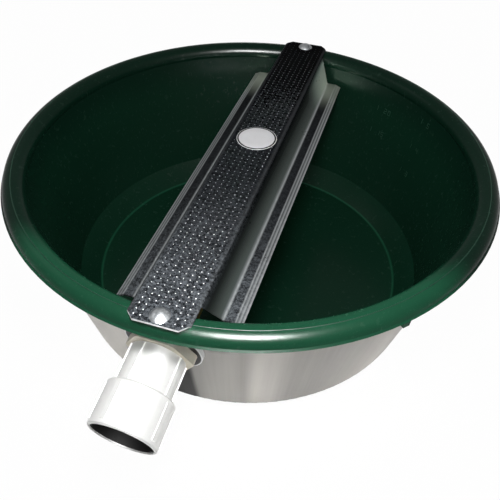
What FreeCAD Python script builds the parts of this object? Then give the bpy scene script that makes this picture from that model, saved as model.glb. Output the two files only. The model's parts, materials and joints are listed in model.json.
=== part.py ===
"""Poultry waterer fount: a rolled-rim plastic tub in a steel shell, fed through its wall by a float valve.

Frame: millimetres, +Z up, origin at the middle of the flat base. The folded cover bridges the rim
along Y, and the inlet leaves through the wall on the -Y side, square to the sloping wall.
"""
import FreeCAD, Part
import math
import os
import re

import Sketcher
from FreeCAD import Rotation, Vector

doc = FreeCAD.newDocument("poultry_waterer_fount")

# ---------------------------------------------------------------- driving dimensions (mm, degrees)
SIZES = [
    # tub and shell
    ("rim_radius", 175.0), ("crest_height", 122.0), ("rim_roll", 8.0), ("rim_lip", 1.1),
    ("roll_offset", 4.8), ("wall_lean", 14.0), ("tub_wall", 2.4), ("floor_height", 5.6),
    ("band_rise", 14.0), ("band_run", 11.0), ("foot_inset", 17.0), ("foot_width", 4.0),
    ("shell_sheet", 0.8), ("shell_gap", 0.5), ("shell_tuck", 9.0), ("shell_corner", 4.0), ("shell_bevel", 1.2),
    ("lug_angle", -42.5), ("lug_width", 7.0), ("lug_drop", 8.0), ("lug_wall", 3.0), ("lug_taper", 1.2),
    # folded cover and its bolts
    ("cover_inset", 1.0), ("cover_half_width", 18.4), ("cover_sheet", 1.0),
    ("web_drop", 19.6), ("web_angle", 65.0), ("flange_width", 7.5), ("lip_width", 5.0),
    ("lip_angle", 25.0), ("web_inset", 21.0), ("flange_inset", 31.0), ("tip_chamfer", 5.0),
    ("bend_radius", 1.4), ("bolt_inset", 8.0), ("bolt_shank", 2.0), ("bolt_play", 0.25),
    ("bolt_head", 6.0), ("bolt_dome", 3.0), ("bolt_seat", 4.5), ("bolt_boss", 5.6),
    ("bolt_washer", 3.9), ("washer_sheet", 1.0), ("bolt_nut_flats", 7.0), ("bolt_nut_height", 3.2),
    ("bolt_tail", 1.5), ("cut_spare", 2.0),
    # inlet through the wall
    ("inlet_drop", 40.6), ("inlet_turn", -2.0), ("shank_radius", 13.2), ("hole_play", 0.3),
    ("thread_play", 0.08), ("outer_washer_radius", 25.0), ("outer_washer_sheet", 1.3),
    ("lock_nut_flats", 39.0), ("lock_nut_height", 6.0), ("lock_nut_corner", 0.9),
    ("body_gap", 0.4), ("body_radius", 17.2), ("body_length", 24.0), ("collar_radius", 21.0),
    ("collar_length", 27.5), ("collar_chamfer", 1.5), ("mouth_chamfer", 0.8),
    ("socket_radius", 18.0), ("socket_depth", 24.0), ("coupling_supply", 9.5),
    ("thread_depth", 18.0), ("shank_end_gap", 1.0), ("rib_width", 3.2), ("rib_height", 0.9),
    ("seal_sheet", 3.0), ("liner_radius", 19.2), ("pad_radius", 19.5), ("pad_height", 2.1), ("gasket_sheet", 2.0),
    # float valve
    ("flange_radius", 18.5), ("flange_sheet", 4.0), ("barrel_radius", 11.0), ("barrel_length", 24.0),
    ("supply_radius", 8.0), ("web_sheet", 2.5), ("web_hole", 4.0), ("chamber_radius", 6.0),
    ("outlet_radius", 3.2), ("seat_height", 5.0), ("nozzle_radius", 3.6), ("seat_nozzle", 1.5),
    ("seat_hole", 2.2), ("fit_play", 0.03), ("slide_play", 0.08), ("plunger_stroke", 3.2),
    ("stroke_spare", 0.3), ("seal_thickness", 3.0), ("seal_radius", 4.4), ("seal_proud", 0.5),
    ("piston_length", 11.0), ("stem_radius", 3.5), ("pivot_reach", 46.0), ("pivot_drop", 9.0),
    ("pin_radius", 2.0), ("pin_head", 3.6), ("pin_head_sheet", 1.5), ("pin_play", 0.05),
    ("pin_tail", 1.2), ("ear_gap", 6.4), ("ear_wall", 3.0), ("ear_radius", 5.5), ("ear_root", 8.0),
    ("side_play", 0.4), ("clip_sheet", 0.8), ("clip_radius", 3.8), ("clip_depth", 0.5),
    ("nose_radius", 2.4), ("nose_gap", 0.3), ("stop_drop", 2.5), ("stop_sheet", 3.0),
    ("stop_length", 6.0), ("stop_gap", 0.3), ("stop_reach", 6.0),
    # float arm
    ("arm_droop", 28.0), ("hub_radius", 4.6), ("lever_sheet", 5.0), ("boss_radius", 4.6),
    ("boss_start", 9.0), ("boss_end", 27.0), ("rod_radius", 2.0), ("rod_start", 12.0),
    ("screw_radius", 1.5), ("screw_place", 20.0), ("thumb_radius", 5.0), ("thumb_height", 4.0),
    ("thumb_gap", 0.4), ("thumb_chamfer", 0.8), ("rod_play", 0.1),
    ("float_radius", 20.0), ("float_start", 60.0), ("float_length", 90.0), ("float_bevel", 5.0),
    ("seam_width", 2.0), ("seam_height", 0.6),
    ("float_nut_flats", 7.0), ("float_nut_height", 3.2), ("rod_tail", 2.0),
]
sheet = doc.addObject("Spreadsheet::Sheet", "Sizes")
for row, (alias, value) in enumerate(SIZES, start=1):
    sheet.set(f"A{row}", alias.replace("_", " "))
    sheet.set(f"B{row}", str(value))
    sheet.setAlias(f"B{row}", alias)
doc.recompute()

spare = doc.addObject("Spreadsheet::Sheet", "Spare")
NAMES = re.compile(r"\b(" + "|".join(alias for alias, value in SIZES) + r")\b")
nodes = []


def bound(formula):
    """The formula as an object's expression: each size's name is looked up in the sheet."""
    return NAMES.sub(r"Sizes.\1", formula)


def number(formula):
    """The formula's present value, worked out in a spare sheet's cell."""
    spare.set("A1", "=" + bound(formula))
    spare.recompute()
    return float(spare.get("A1"))


def bind(thing, **formulas):
    for name, formula in formulas.items():
        thing.setExpression(name.replace("__", "."), bound(formula))
    return thing


def node(thing, label):
    """Keeps a finished sub-part under the name of its file."""
    thing.Label = label
    nodes.append(thing)
    return thing


# ---------------------------------------------------------------- sketching helpers
def new_body(name, frame=None):
    body = doc.addObject("PartDesign::Body", name)
    if frame:
        body.setExpression("Placement", f"{frame.Name}.Placement")
    return body


def sketch_on(body, plane, name):
    sketch = body.newObject("Sketcher::SketchObject", name)
    origin = [item for item in body.Origin.OriginFeatures if item.Role == plane][0]
    sketch.AttachmentSupport = [(origin, "")]
    sketch.MapMode = "FlatFace"
    return sketch


def hold(sketch, kind, edge, end, formula):
    """Fixes one coordinate of a point to a formula in the sheet's sizes."""
    if formula == "0":
        axis = -2 if kind == "DistanceX" else -1
        sketch.addConstraint(Sketcher.Constraint("PointOnObject", edge, end, axis))
        return
    count = sketch.addConstraint(Sketcher.Constraint(kind, -1, 1, edge, end, number(formula)))
    sketch.setExpression(f"Constraints[{count}]", bound(formula))


def outline(sketch, points):
    """A closed outline. A point is (x, y), or (x, y, radius, side) where the side that arrives there
    is an arc: side +1 has its centre on the left of the way there, -1 on the right."""
    places = [Vector(number(point[0]), number(point[1]), 0) for point in points]
    first = sketch.GeometryCount
    total = len(points)
    ends = []
    for index in range(total):
        start, stop = places[index], places[(index + 1) % total]
        arrival = points[(index + 1) % total]
        if len(arrival) == 2:
            sketch.addGeometry(Part.LineSegment(start, stop), False)
            ends.append((1, 2))
            continue
        radius, side = number(arrival[2]), arrival[3]
        chord = stop - start
        rise = math.sqrt(max(radius ** 2 - (chord.Length / 2) ** 2, 0.0))
        left = Vector(-chord.y, chord.x, 0) / chord.Length
        centre = (start + stop) * 0.5 + left * (rise * side)
        turns = [math.atan2(p.y - centre.y, p.x - centre.x) for p in (start, stop)]
        if side < 0:
            turns.reverse()
        if turns[1] < turns[0]:
            turns[1] += 2 * math.pi
        circle = Part.Circle(centre, Vector(0, 0, 1), radius)
        sketch.addGeometry(Part.ArcOfCircle(circle, turns[0], turns[1]), False)
        ends.append((1, 2) if side > 0 else (2, 1))
    for index in range(total):
        edge, following = first + index, first + (index + 1) % total
        sketch.addConstraint(Sketcher.Constraint(
            "Coincident", edge, ends[index][1], following, ends[(index + 1) % total][0]))
    for index, point in enumerate(points):
        hold(sketch, "DistanceX", first + index, ends[index][0], point[0])
        hold(sketch, "DistanceY", first + index, ends[index][0], point[1])
        if len(point) > 2:
            arc = first + (index - 1) % total
            count = sketch.addConstraint(Sketcher.Constraint("Radius", arc, number(point[2])))
            sketch.setExpression(f"Constraints[{count}]", bound(point[2]))
    return sketch


def revolved(body, name, points):
    """A revolved solid: points are (radius, height) about the body's own Z axis."""
    sketch = outline(sketch_on(body, "XZ_Plane", name + "_section"), points)
    turning = body.newObject("PartDesign::Revolution", name)
    turning.Profile = sketch
    turning.ReferenceAxis = (sketch, ["V_Axis"])
    turning.Angle = 360
    doc.recompute()
    return turning


def turned(label, points, frame=None):
    """A one-feature turned piece in its own node."""
    body = new_body(label + "_body", frame)
    revolved(body, label + "_turning", points)
    return node(body, label)


def tube(inner, outer, low, high):
    return [(inner, low), (outer, low), (outer, high), (inner, high)]


def disc(outer, low, high):
    return [("0", low), (outer, low), (outer, high), ("0", high)]


def dressed(kind, body, name, edges, **size):
    """Works on the edges of the body's last feature that edges(edge) picks."""
    base = body.Tip
    picked = [f"Edge{i}" for i, edge in enumerate(base.Shape.Edges, start=1) if edges(edge)]
    if not picked:
        raise RuntimeError(f"{body.Name}: no edge for {name}")
    feature = body.newObject("PartDesign::" + kind, name)
    feature.Base = (base, picked)
    bind(feature, **size)
    doc.recompute()
    return feature


def rounded(body, name, edges, radius):
    return dressed("Fillet", body, name, edges, Radius=radius)


def ring_edge(radius, height):
    """Picks the circular edges of this radius and height."""
    wanted, level = number(radius), number(height)

    def picks(edge):
        curve = edge.Curve
        return (isinstance(curve, Part.Circle) and abs(curve.Radius - wanted) < 0.05
                and abs(curve.Center.z - level) < 0.05)
    return picks


# ---------------------------------------------------------------- primitive helpers
ABOUT = {"x": ("0; 1; 0", "90"), "y": ("1; 0; 0", "-90"), "z": ("0; 0; 1", "0")}


def primitive(kind, name, place=("0", "0", "0"), frame=None, along="z", **sizes):
    """A Part primitive whose own axis runs along one axis of the frame, or of the model."""
    thing = doc.addObject("Part::" + kind, name)
    bind(thing, **sizes)
    axis, angle = ABOUT[along]
    spot = (f"create(<<placement>>; create(<<vector>>; {'; '.join(place)});"
            f" create(<<rotation>>; create(<<vector>>; {axis}); {angle}))")
    if frame:
        spot = f"{frame.Name}.Placement * {spot}"
    return bind(thing, Placement=spot)


def cylinder(name, radius, low, high, frame=None, along="z", place=("0", "0")):
    """A round bar from low to high along an axis; place is where that axis crosses the other two."""
    spot = list(place)
    spot.insert("xyz".index(along), low)
    return primitive("Cylinder", name, tuple(spot), frame, along, Radius=radius, Height=f"({high}) - ({low})")


def block(name, x_span, y_span, z_span, frame=None):
    """A box between two formulas on each axis."""
    spans = (x_span, y_span, z_span)
    lengths = [f"({high}) - ({low})" for low, high in spans]
    return primitive("Box", name, tuple(low for low, high in spans), frame,
                     Length=lengths[0], Width=lengths[1], Height=lengths[2])


def cut(name, base, *tools):
    result = doc.addObject("Part::Cut", name)
    result.Base = base
    result.Tool = tools[0] if len(tools) == 1 else fused(name + "_tools", *tools)
    return result


def fused(name, *shapes):
    result = doc.addObject("Part::MultiFuse", name)
    result.Shapes = list(shapes)
    return result


def common(name, *shapes):
    result = doc.addObject("Part::MultiCommon", name)
    result.Shapes = list(shapes)
    return result


def group(label, shapes):
    """Identical pieces that share one node as separate solids."""
    result = doc.addObject("Part::Compound", label + "_set")
    result.Links = list(shapes)
    return node(result, label)


def ring(name, inner, outer, low, high, frame=None):
    return cut(name, cylinder(name + "_blank", outer, low, high, frame),
               cylinder(name + "_hole", inner, low, high, frame))


def hex_nut(name, flats, low, high, hole, frame=None, corner=None, place=("0", "0")):
    """A six-sided nut along Z; corner is how much its points are turned off."""
    across = f"({flats} / 2 / cos(30))"
    blank = primitive("Prism", name + "_blank", (*place, low), frame,
                      Circumradius=across, Height=f"({high}) - ({low})")
    blank.Polygon = 6
    if corner:
        turned_off = cylinder(name + "_corners", f"{across} - {corner}", low, high, frame, place=place)
        blank = common(name + "_shape", blank, turned_off)
    return cut(name, blank, cylinder(name + "_bore", hole, low, high, frame, place=place))


# ---------------------------------------------------------------- frames of the inlet and the float arm
def new_frame(name, parent, x, y, z, *turns):
    """A named placement: a point in the parent frame, then turns of (axis, angle) in order."""
    frame = doc.addObject("App::Placement", name)
    turning = " * ".join(f"create(<<rotation>>; create(<<vector>>; {axis}); {angle})" for axis, angle in turns)
    spot = f"create(<<placement>>; create(<<vector>>; {x}; {y}; {z}); {turning})"
    return bind(frame, Placement=f"{parent.Name}.Placement * {spot}" if parent else spot)


ROLL_X = "(rim_radius - rim_roll)"
ROLL_Z = "(crest_height - rim_roll)"
# The rolled rim's centre lies roll_offset outside the tub wall's outer face, and so sets the bowl's base.
BASE = (f"({ROLL_X} - {ROLL_Z} * tan(wall_lean)"
        " - (roll_offset - shell_sheet - shell_gap) / cos(wall_lean))")
INLET_Z = "(crest_height - inlet_drop)"
WALL_REACH = f"({BASE} + {INLET_Z} * tan(wall_lean))"
# Z of the inlet frame runs inward through the wall from its outer face, and Y points down the wall.
inlet_frame = new_frame("InletFrame", None, f"{WALL_REACH} * sin(inlet_turn)", f"-{WALL_REACH} * cos(inlet_turn)",
                        INLET_Z, ("0; 0; 1", "inlet_turn"), ("1; 0; 0", "wall_lean - 90"))
# The pivot frame's Z is the float arm's hinge line, and the arm frame's Z runs along the float rod.
pivot_frame = new_frame("PivotFrame", inlet_frame, "0", "pivot_drop", "pivot_reach", ("0; 1; 0", "90"))
arm_frame = new_frame("ArmFrame", inlet_frame, "0", "pivot_drop", "pivot_reach", ("1; 0; 0", "-arm_droop"))
screw_frame = new_frame("ScrewFrame", arm_frame, "0", "0", "screw_place", ("1; 0; 0", "90"))
doc.recompute()

# Stations along the inlet's axis, from the shell's outer face: minus is outside the bowl.
NUT_SEAT = "-outer_washer_sheet"
NUT_FACE = "(-outer_washer_sheet - lock_nut_height)"
COUPLING_END = f"({NUT_FACE} - body_gap)"
SHOULDER = f"({COUPLING_END} - body_length)"
MOUTH = f"({SHOULDER} - collar_length)"
THREAD_END = f"({COUPLING_END} - thread_depth)"
SOCKET_END = f"({MOUTH} + socket_depth)"
TUB_FACE = "(shell_sheet + shell_gap + tub_wall)"
PAD_FACE = f"({TUB_FACE} + pad_height)"
FLANGE_FACE = f"({PAD_FACE} + gasket_sheet)"
FLANGE_END = f"({FLANGE_FACE} + flange_sheet)"
BARREL_END = f"({FLANGE_END} + barrel_length)"
SEAT_FACE = f"({FLANGE_END} + web_sheet)"
NOZZLE_TIP = f"({SEAT_FACE} + seat_height + seat_nozzle)"
SEAL_FACE = f"({NOZZLE_TIP} + stroke_spare + plunger_stroke)"
PISTON_FACE = f"({SEAL_FACE} + seal_proud)"

# ---------------------------------------------------------------- tub with its rolled rim
UNDER_FLOOR = "(floor_height - tub_wall)"
FOOT = f"({BASE} - foot_inset)"
BOLT_Y = "(rim_radius - bolt_inset)"
# Each face of the tub's wall meets the roll at an angle of the roll's own circle.
INNER_MEETS = "(180 deg - wall_lean * 1 deg + acos((roll_offset + tub_wall) / rim_roll))"
OUTER_MEETS = "(180 deg - wall_lean * 1 deg + acos(roll_offset / (rim_roll - tub_wall)))"


def wall_face(height, depth):
    """Radius at a height of a face that lies depth inside the shell's outer face."""
    return f"{BASE} + {height} * tan(wall_lean) - ({depth}) / cos(wall_lean)"


def tub_turning():
    body = new_body("tub_body")
    floor_edge = f"({wall_face('floor_height', 'shell_sheet + shell_gap + tub_wall')} - band_run)"
    band_top = "(floor_height + band_rise)"
    under_band = f"({band_top} - tub_wall / 3)"
    hollow = "(rim_roll - tub_wall)"
    arch = [(f"{ROLL_X} + {hollow} * cos({turn})", f"{ROLL_Z} + {hollow} * sin({turn})")
            for turn in ("0 deg", "45 deg", "90 deg", "135 deg", "180 deg")]
    neck = (f"{ROLL_X} + rim_roll * cos({INNER_MEETS})", f"{ROLL_Z} + rim_roll * sin({INNER_MEETS})")
    tuck = (f"{ROLL_X} + {hollow} * cos({OUTER_MEETS})", f"{ROLL_Z} + {hollow} * sin({OUTER_MEETS})")
    revolved(body, "tub_turning", [
        ("0", "floor_height"),
        (floor_edge, "floor_height"),
        (wall_face(band_top, "shell_sheet + shell_gap + tub_wall"), band_top),
        neck,
        (f"{ROLL_X} - rim_roll", ROLL_Z, "rim_roll", -1),
        (ROLL_X, "crest_height", "rim_roll", -1),
        ("rim_radius", ROLL_Z, "rim_roll", -1),
        ("rim_radius + rim_lip", f"{ROLL_Z} - rim_lip"),
        ("rim_radius - tub_wall", f"{ROLL_Z} - rim_lip"),
        *arch,
        tuck,
        (wall_face(under_band, "shell_sheet + shell_gap"), under_band),
        (f"{floor_edge} + tub_wall / 2", UNDER_FLOOR),
        (FOOT, UNDER_FLOOR),
        (FOOT, "shell_sheet"),
        (f"{FOOT} - foot_width", "shell_sheet"),
        (f"{FOOT} - foot_width", UNDER_FLOOR),
        ("0", UNDER_FLOOR),
    ])
    return body


def build_tub():
    """The tub: turned wall and rim, a flat pad behind the gasket, a seat under each bolt, and the lug."""
    sunk = f"({TUB_FACE} - tub_wall / 4)"
    pad = cylinder("inlet_pad", "pad_radius", sunk, PAD_FACE, inlet_frame)
    roll = primitive("Torus", "seat_roll", ("0", "0", ROLL_Z), Radius1=ROLL_X, Radius2="rim_roll - tub_wall / 4")
    columns, holes = [], []
    for side, place in (("front", f"-{BOLT_Y}"), ("back", BOLT_Y)):
        columns.append(cylinder(side + "_seat", "bolt_boss", "crest_height - bolt_seat", "crest_height",
                                place=("0", place)))
        holes.append(cylinder(side + "_bolt_hole", "bolt_shank + bolt_play", "crest_height - 2 * bolt_seat",
                              "crest_height + cut_spare", place=("0", place)))
    seats = common("bolt_seats", fused("bolt_seat_columns", *columns), roll)
    lug_frame = new_frame("LugFrame", None, "0", "0", ROLL_Z, ("0; 0; 1", "lug_angle"))
    near, far = "rim_radius - lug_wall", "rim_radius - tub_wall / 4"
    lug = primitive("Wedge", "lug", frame=lug_frame, along="y", Xmin=near, X2min=near, Xmax=far, X2max=far,
                    Ymin="-tub_wall / 2", Zmin="-lug_width / 2", Zmax="lug_width / 2",
                    Ymax="lug_drop", Z2min="lug_taper - lug_width / 2", Z2max="lug_width / 2 - lug_taper")
    opened = cut("tub_opened", fused("tub_padded", tub_turning(), pad),
                 cylinder("tub_inlet_hole", "shank_radius + hole_play", "0", "2 * pad_radius", inlet_frame))
    return node(cut("tub_cut", fused("tub_blank", opened, seats, lug), *holes), "tub")


def build_shell():
    """The steel pan round the tub, its top edge tucked up into the hollow rim."""
    body = new_body("shell_body")
    top = "(crest_height - shell_tuck)"
    inside = wall_face("shell_sheet", "shell_sheet")
    revolved(body, "shell_turning", [
        ("0", "0"), (BASE, "0"), (wall_face(top, "0"), top), (wall_face(top, "shell_sheet"), top),
        (wall_face("(shell_sheet + shell_bevel)", "shell_sheet"), "shell_sheet + shell_bevel"),
        (f"{inside} - shell_bevel", "shell_sheet"), ("0", "shell_sheet")])
    rounded(body, "shell_corner_outside", ring_edge(BASE, "0"), "shell_corner")
    hole = cylinder("shell_hole", "shank_radius + hole_play", "-pad_radius", "pad_radius", inlet_frame)
    return node(cut("shell_cut", body, hole), "outer_shell")


# ---------------------------------------------------------------- folded cover and its bolts
TOP = "(crest_height + cover_sheet)"
COVER_END = "(rim_radius - cover_inset)"
WEB_END = "(rim_radius - web_inset)"
FLANGE_END_Y = "(rim_radius - flange_inset)"


def hat_section():
    """Points of the folded sheet's right half: its top face outward, and its underside back."""
    foot = "(cover_half_width + web_drop / tan(web_angle))"
    low = f"({TOP} - web_drop)"
    crease = f"({foot} + flange_width)"
    edge = (f"({crease} + lip_width * cos(lip_angle))", f"({low} - lip_width * sin(lip_angle))")
    web_inset = "cover_sheet * tan(web_angle / 2)"
    upper = [("cover_half_width", TOP), (foot, low), (crease, low), edge]
    under = [(f"{edge[0]} - cover_sheet * sin(lip_angle)", f"{edge[1]} - cover_sheet * cos(lip_angle)"),
             (f"{crease} - cover_sheet * tan(lip_angle / 2)", f"{low} - cover_sheet"),
             (f"{foot} - {web_inset}", f"{low} - cover_sheet"),
             (f"cover_half_width - {web_inset}", f"{TOP} - cover_sheet")]
    return upper, under


def fold_edges(body, corners):
    """Picks the long edges that pass through any of these corners of the section, on either side."""
    spots = [(number(x), number(z)) for x, z in corners]

    def picks(edge):
        if edge.Length < number(COVER_END):
            return False
        point = edge.Vertexes[0].Point
        return any(abs(abs(point.x) - x) < 0.01 and abs(point.z - z) < 0.01 for x, z in spots)
    return picks


def pocket(body, name, sketch):
    """Cuts a sketch's outlines right through the body, both ways."""
    feature = body.newObject("PartDesign::Pocket", name)
    feature.Profile = sketch
    feature.SideType = "Symmetric"
    feature.Type = "ThroughAll"
    doc.recompute()
    return feature


def build_cover():
    """The galvanised cover: a hat section whose top runs on over the rim, with its webs cut to the bowl."""
    body = new_body("cover_body")
    upper, under = hat_section()
    left = [(f"-({x})", z) for x, z in upper + under]
    section = left[3::-1] + upper + under + left[:3:-1]
    sketch = outline(sketch_on(body, "XZ_Plane", "cover_section"), section)
    pad = body.newObject("PartDesign::Pad", "cover_pad")
    pad.Profile = sketch
    pad.SideType = "Symmetric"
    bind(pad, Length=f"2 * {COVER_END}")
    doc.recompute()
    rounded(body, "outer_folds", fold_edges(body, [upper[0], under[2], upper[2]]), "bend_radius + cover_sheet")
    rounded(body, "inner_folds", fold_edges(body, [under[3], upper[1], under[1]]), "bend_radius")

    ends = sketch_on(body, "YZ_Plane", "cover_ends")
    below = f"({TOP} - 2 * web_drop)"
    for sign in ("-", ""):
        past_end = f"{sign}({COVER_END} + cut_spare)"
        outline(ends, [(f"{sign}{WEB_END}", "crest_height"), (past_end, "crest_height"),
                       (past_end, below), (f"{sign}{FLANGE_END_Y}", below),
                       (f"{sign}{FLANGE_END_Y}", f"{TOP} - web_drop")])
    pocket(body, "cover_end_cuts", ends)
    plan = sketch_on(body, "XY_Plane", "cover_plan")
    wide = "(cover_half_width + cover_sheet + cut_spare)"
    for x_sign in ("-", ""):
        for y_sign in ("-", ""):
            outline(plan, [(f"{x_sign}(cover_half_width - tip_chamfer)", f"{y_sign}{COVER_END}"),
                           (f"{x_sign}{wide}", f"{y_sign}{COVER_END}"),
                           (f"{x_sign}{wide}", f"{y_sign}({COVER_END} + cover_half_width - tip_chamfer - {wide})")])
    pocket(body, "cover_tips", plan)
    holes = [cylinder(side + "_cover_hole", "bolt_shank + bolt_play", "crest_height - cut_spare", f"{TOP} + cut_spare",
                      place=("0", place)) for side, place in (("front", f"-{BOLT_Y}"), ("back", BOLT_Y))]
    return node(cut("cover_cut", body, *holes), "valve_cover")


def build_fastenings():
    """The domed bolts that hold the cover to the rim, with a washer and a nut in the rim's hollow."""
    washer_top = "(crest_height - bolt_seat)"
    nut_top = f"({washer_top} - washer_sheet)"
    nut_low = f"({nut_top} - bolt_nut_height)"
    dome = "((bolt_head ^ 2 + bolt_dome ^ 2) / (2 * bolt_dome))"
    bolts, washers, nuts = [], [], []
    for side, place in (("front", f"-{BOLT_Y}"), ("back", BOLT_Y)):
        body = new_body(side + "_bolt")
        revolved(body, side + "_bolt_turning", [
            ("0", f"{nut_low} - bolt_tail"), ("bolt_shank", f"{nut_low} - bolt_tail"), ("bolt_shank", TOP),
            ("bolt_head", TOP), ("0", f"{TOP} + bolt_dome", dome, 1)])
        bolts.append(bind(body, Placement__Base__y=place))
        blank = cylinder(side + "_washer_blank", "bolt_washer", nut_top, washer_top, place=("0", place))
        hole = cylinder(side + "_washer_hole", "bolt_shank + bolt_play", nut_top, washer_top, place=("0", place))
        washers.append(cut(side + "_washer", blank, hole))
        nuts.append(hex_nut(side + "_nut", "bolt_nut_flats", nut_low, nut_top, "bolt_shank + thread_play",
                            place=("0", place)))
    group("cover_bolts", bolts)
    group("cover_washers", washers)
    group("cover_nuts", nuts)


# ---------------------------------------------------------------- inlet through the wall
def build_coupling():
    """The white moulded coupling: a ribbed threaded body and a wider collar with the pipe's socket."""
    body = turned_body("coupling_turned", [
        ("liner_radius", MOUTH), ("collar_radius - mouth_chamfer", MOUTH),
        ("collar_radius", f"{MOUTH} + mouth_chamfer"), ("collar_radius", f"{SHOULDER} - collar_chamfer"),
        ("collar_radius - collar_chamfer", SHOULDER), ("body_radius", SHOULDER), ("body_radius", COUPLING_END),
        ("shank_radius + thread_play", COUPLING_END), ("shank_radius + thread_play", THREAD_END),
        ("coupling_supply", THREAD_END), ("coupling_supply", SOCKET_END), ("liner_radius", SOCKET_END)],
        inlet_frame)
    ribs = []
    for index in range(8):
        turn = new_frame(f"RibFrame{index}", inlet_frame, "0", "0", "0", ("0; 0; 1", str(45 * index + 22.5)))
        ribs.append(block(f"body_rib_{index}", ("body_radius - 1", "body_radius + rib_height"),
                          ("-rib_width / 2", "rib_width / 2"), (SHOULDER, f"{COUPLING_END} - body_gap"), turn))
        ribs.append(block(f"collar_rib_{index}", ("collar_radius - 1", "collar_radius + rib_height / 2"),
                          ("-rib_width / 2", "rib_width / 2"),
                          (f"{MOUTH} + 2 * collar_chamfer", f"{SHOULDER} - 2 * collar_chamfer"), turn))
    return node(fused("coupling_ribbed", body, *ribs), "inlet_coupling")


def turned_body(name, points, frame):
    body = new_body(name + "_body", frame)
    revolved(body, name, points)
    return body


def build_wall_fittings():
    """Seal, lock nut, washer and gasket, in the order they go on the shank."""
    seal_face, seal_mouth = f"{SOCKET_END} - seal_sheet", f"{MOUTH} + mouth_chamfer"
    turned("coupling_seal", [
        ("coupling_supply", SOCKET_END), ("coupling_supply", seal_face), ("socket_radius", seal_face),
        ("socket_radius", seal_mouth), ("liner_radius - slide_play", seal_mouth),
        ("liner_radius - slide_play", SOCKET_END)], inlet_frame)
    node(hex_nut("lock_nut", "lock_nut_flats", NUT_FACE, NUT_SEAT, "shank_radius + thread_play", inlet_frame,
                 "lock_nut_corner"), "inlet_lock_nut")
    # The washer is dished to sit on the round wall, so its inner face is the shell's own cone.
    cone_top = "(crest_height - shell_tuck)"
    cone = primitive("Cone", "shell_cone", Radius1=BASE, Radius2=wall_face(cone_top, "0"), Height=cone_top)
    flat = ring("washer_flat", "shank_radius + thread_play", "outer_washer_radius", NUT_SEAT,
                "outer_washer_radius / 5", inlet_frame)
    node(cut("outer_washer_dished", flat, cone), "outer_washer")
    turned("inner_gasket", tube("shank_radius + thread_play", "flange_radius", PAD_FACE, FLANGE_FACE), inlet_frame)


def build_valve():
    """The float valve's fixed pieces: body with its two ears, seat, hinge pin and clip."""
    shank_end = f"({THREAD_END} + shank_end_gap)"
    barrel = turned_body("valve_barrel", [
        ("supply_radius", shank_end), ("shank_radius", shank_end), ("shank_radius", FLANGE_FACE),
        ("flange_radius", FLANGE_FACE), ("flange_radius", FLANGE_END), ("barrel_radius", FLANGE_END),
        ("barrel_radius", BARREL_END), ("chamber_radius", BARREL_END), ("chamber_radius", SEAT_FACE),
        ("web_hole", SEAT_FACE), ("web_hole", FLANGE_END), ("supply_radius", FLANGE_END)], inlet_frame)
    root = f"({BARREL_END} - ear_root)"
    ear_out = "(ear_gap + ear_wall)"
    low_y, high_y = "(pivot_drop - ear_radius)", "(pivot_drop + ear_radius)"
    ears = []
    for side, start, stop in (("left", f"-{ear_out}", "-ear_gap"), ("right", "ear_gap", ear_out)):
        ears.append(block(side + "_ear", (start, stop), (low_y, high_y), (root, "pivot_reach"), inlet_frame))
        ears.append(cylinder(side + "_ear_end", "ear_radius", start, stop, pivot_frame))
    stop_end = "(pivot_reach - stop_reach)"
    ears.append(block("arm_stop", ("-ear_gap", "ear_gap"), ("pivot_drop + stop_drop", high_y),
                      (f"{stop_end} - stop_length", stop_end), inlet_frame))
    whole = fused("valve_whole", barrel, *ears)
    pin_bore = cylinder("valve_pin_bore", "pin_radius + pin_play", f"-{ear_out} - cut_spare", f"{ear_out} + cut_spare", pivot_frame)
    outlet = cylinder("valve_outlet", "outlet_radius", "0", "barrel_radius + cut_spare", inlet_frame, "y",
                      ("0", f"{NOZZLE_TIP} + seat_nozzle"))
    node(cut("valve_cut", whole, pin_bore, outlet), "valve_body")
    turned("valve_seat", [
        ("seat_hole", SEAT_FACE), ("chamber_radius - fit_play", SEAT_FACE),
        ("chamber_radius - fit_play", f"{SEAT_FACE} + seat_height"), ("nozzle_radius", f"{SEAT_FACE} + seat_height"),
        ("(nozzle_radius + seat_hole) / 2", NOZZLE_TIP), ("seat_hole", NOZZLE_TIP)], inlet_frame)
    groove = (f"(-{ear_out} - side_play - clip_sheet)", f"(-{ear_out} - side_play)")
    turned("pivot_pin", [
        ("0", f"{groove[0]} - pin_tail"), ("pin_radius", f"{groove[0]} - pin_tail"), ("pin_radius", groove[0]),
        ("pin_radius - clip_depth", groove[0]), ("pin_radius - clip_depth", groove[1]), ("pin_radius", groove[1]),
        ("pin_radius", ear_out), ("pin_head", ear_out), ("pin_head", f"{ear_out} + pin_head_sheet"),
        ("0", f"{ear_out} + pin_head_sheet")], pivot_frame)
    clip = ring("clip_ring", "pin_radius - clip_depth + fit_play", "clip_radius", f"{groove[0]} + fit_play",
                f"{groove[1]} - fit_play", pivot_frame)
    mouth = block("clip_mouth", ("0", "clip_radius"), ("-pin_radius + clip_depth", "pin_radius - clip_depth"),
                  groove, pivot_frame)
    node(cut("clip_cut", clip, mouth), "pivot_clip")


def build_plunger():
    """The plunger slides in the barrel, and carries the rubber disc that shuts the seat."""
    turned("valve_plunger", [
        ("0", f"{SEAL_FACE} + seal_thickness"), ("seal_radius", f"{SEAL_FACE} + seal_thickness"),
        ("seal_radius", PISTON_FACE), ("chamber_radius - slide_play", PISTON_FACE),
        ("chamber_radius - slide_play", f"{PISTON_FACE} + piston_length"),
        ("stem_radius", f"{PISTON_FACE} + piston_length"), ("stem_radius", "pivot_reach - nose_radius - nose_gap"),
        ("0", "pivot_reach - nose_radius - nose_gap")], inlet_frame)
    turned("plunger_seal", disc("seal_radius - fit_play", SEAL_FACE, f"{SEAL_FACE} + seal_thickness"), inlet_frame)


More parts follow.
